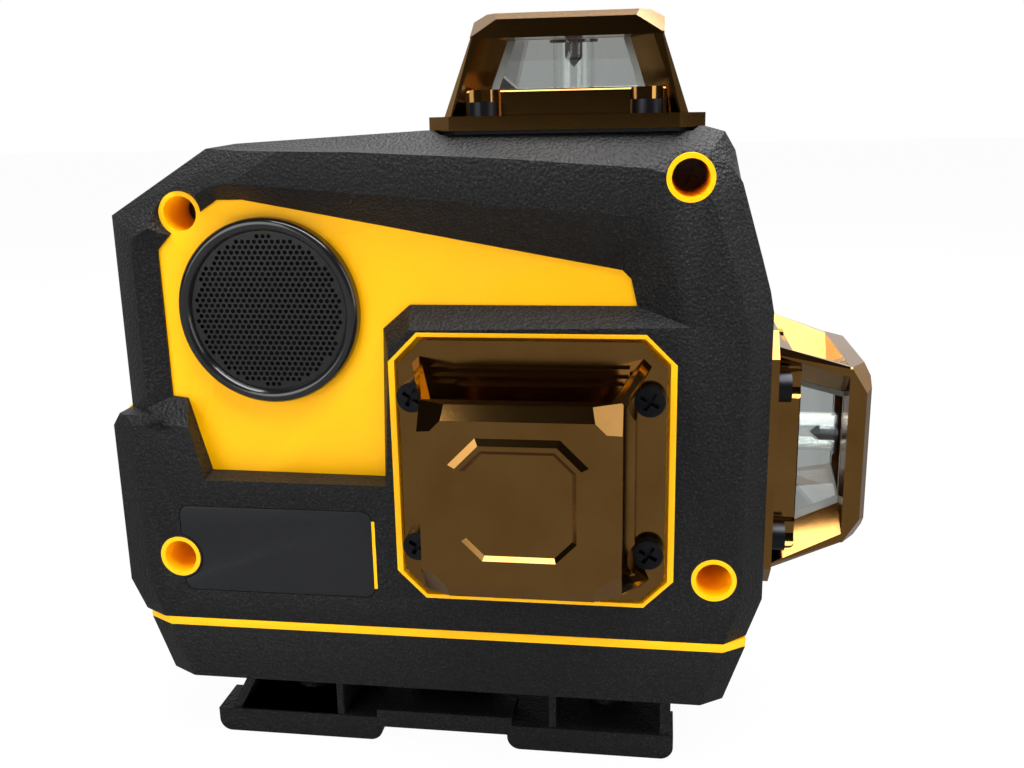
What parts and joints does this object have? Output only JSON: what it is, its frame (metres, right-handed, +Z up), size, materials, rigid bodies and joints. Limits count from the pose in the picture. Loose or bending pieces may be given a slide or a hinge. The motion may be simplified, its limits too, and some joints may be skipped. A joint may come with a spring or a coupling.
{
  "type": "self-levelling line laser level",
  "caption": "Yellow and black self-levelling line laser level with caged full-circle emitters on its top, side and front, a loudspeaker and a tripod foot.",
  "frame": {"origin": "axis of the tripod thread at the plane that the feet stand on", "axes": "+X to the front emitter, -Y to the side with the loudspeaker and the side emitter, +Z up"},
  "size_m": [0.1437, 0.0793, 0.1378],
  "materials": {
    "black_plastic": "fine leathery grain, satin",
    "yellow_plastic": "smooth satin",
    "bronze_plating": "bright bronze plating on die-cast cages",
    "brass": "turned brass",
    "black_steel": "black oxide",
    "steel": "ground steel",
    "aluminium": "machined aluminium",
    "black_aluminium": "black anodised",
    "window_glass": "clear polished panes",
    "tube_glass": "clear polished tube",
    "mirror": "polished cone mirror in a dark holder",
    "rubber": "matt rubber",
    "gloss_black": "glossy black ring",
    "grille_mesh": "perforated sheet, painted",
    "label": "bare plate, satin",
    "circuit_board": "solder mask",
    "battery_case": "satin",
    "key_grey": "satin rubber keys"
  },
  "bodies": {
    "housing": {"right_armour": "black_plastic", "left_armour": "black_plastic", "base_tray": "black_plastic", "foot_frame": "black_plastic", "right_shell": "yellow_plastic", "left_shell": "yellow_plastic", "base_seal": "yellow_plastic", "plate_trim": "yellow_plastic", "tripod_insert": "brass", "housing_screws": "black_steel", "base_screws": "black_steel", "foot_screws": "black_steel", "chassis_screws": "black_steel", "top_cage": "bronze_plating", "top_windows": "window_glass", "top_cage_screws": "black_steel", "top_gasket": "rubber", "side_cage": "bronze_plating", "side_windows": "window_glass", "side_cage_screws": "black_steel", "side_gasket": "rubber", "front_cage": "bronze_plating", "front_windows": "window_glass", "front_cage_screws": "black_steel", "front_gasket": "rubber", "speaker_ring": "gloss_black", "speaker_grille": "grille_mesh", "speaker_driver": "black_plastic", "keypad_bezel": "black_plastic", "battery_bay": "black_plastic", "rating_plate": "label", "keypad_mat": "rubber", "main_pcb": "circuit_board", "battery_contacts": "brass", "copper_plate": "brass", "chassis_frame": "aluminium", "gimbal_pins_outer": "steel"},
    "pendulum": {"top_glass_tube": "tube_glass", "top_cone_mirror": "mirror", "top_laser_module": "aluminium", "side_glass_tube": "tube_glass", "side_cone_mirror": "mirror", "side_laser_module": "aluminium", "front_glass_tube": "tube_glass", "front_cone_mirror": "mirror", "front_laser_module": "aluminium", "gimbal_pins_inner": "steel", "damping_magnet": "steel", "pendulum_block": "aluminium", "balance_weight": "brass"},
    "gimbal": {"gimbal_ring": "aluminium", "gimbal_bearings": "steel"},
    "lock_slider": {"lock_slider": "black_plastic"},
    "lock_lifter": {"lock_lifter": "black_plastic"},
    "battery": {"battery_pack": "battery_case"},
    "battery_latch": {"battery_latch": "yellow_plastic"},
    "power_key": {"power_key": "key_grey"},
    "side_line_key": {"side_line_key": "key_grey"},
    "front_line_key": {"front_line_key": "key_grey"},
    "top_line_key": {"top_line_key": "key_grey"}
  },
  "joints": [
    {"name": "gimbal_roll", "type": "hinge", "parent": "housing", "child": "gimbal", "pos_m": [0.0244, 0, 0.09], "axis": [0, 1, 0], "range_deg": [-3, 3]},
    {"name": "pendulum_pitch", "type": "hinge", "parent": "gimbal", "child": "pendulum", "pos_m": [0.0244, 0, 0.09], "axis": [1, 0, 0], "range_deg": [-3, 3]},
    {"name": "lock_slide", "type": "slide", "parent": "housing", "child": "lock_slider", "axis": [1, 0, 0], "range_m": [0, 0.008]},
    {"name": "lifter_slide", "type": "slide", "parent": "housing", "child": "lock_lifter", "axis": [0, 0, 1], "range_m": [0, 0.003]},
    {"name": "battery_slide", "type": "slide", "parent": "housing", "child": "battery", "axis": [-1, 0, 0], "range_m": [0, 0.05]},
    {"name": "latch_press", "type": "slide", "parent": "housing", "child": "battery_latch", "axis": [1, 0, 0], "range_m": [0, 0.0016], "stiffness_N_per_m": 400},
    {"name": "power_key_press", "type": "slide", "parent": "housing", "child": "power_key", "axis": [0.5177, 0, -0.8556], "range_m": [0, 0.0006], "stiffness_N_per_m": 400},
    {"name": "side_line_key_press", "type": "slide", "parent": "housing", "child": "side_line_key", "axis": [0.5177, 0, -0.8556], "range_m": [0, 0.0006], "stiffness_N_per_m": 400},
    {"name": "front_line_key_press", "type": "slide", "parent": "housing", "child": "front_line_key", "axis": [0.5177, 0, -0.8556], "range_m": [0, 0.0006], "stiffness_N_per_m": 400},
    {"name": "top_line_key_press", "type": "slide", "parent": "housing", "child": "top_line_key", "axis": [0.5177, 0, -0.8556], "range_m": [0, 0.0006], "stiffness_N_per_m": 400}
  ],
  "couplings": [
    {"joint": "lifter_slide", "follows": "lock_slide", "ratio": 0.375}
  ]
}
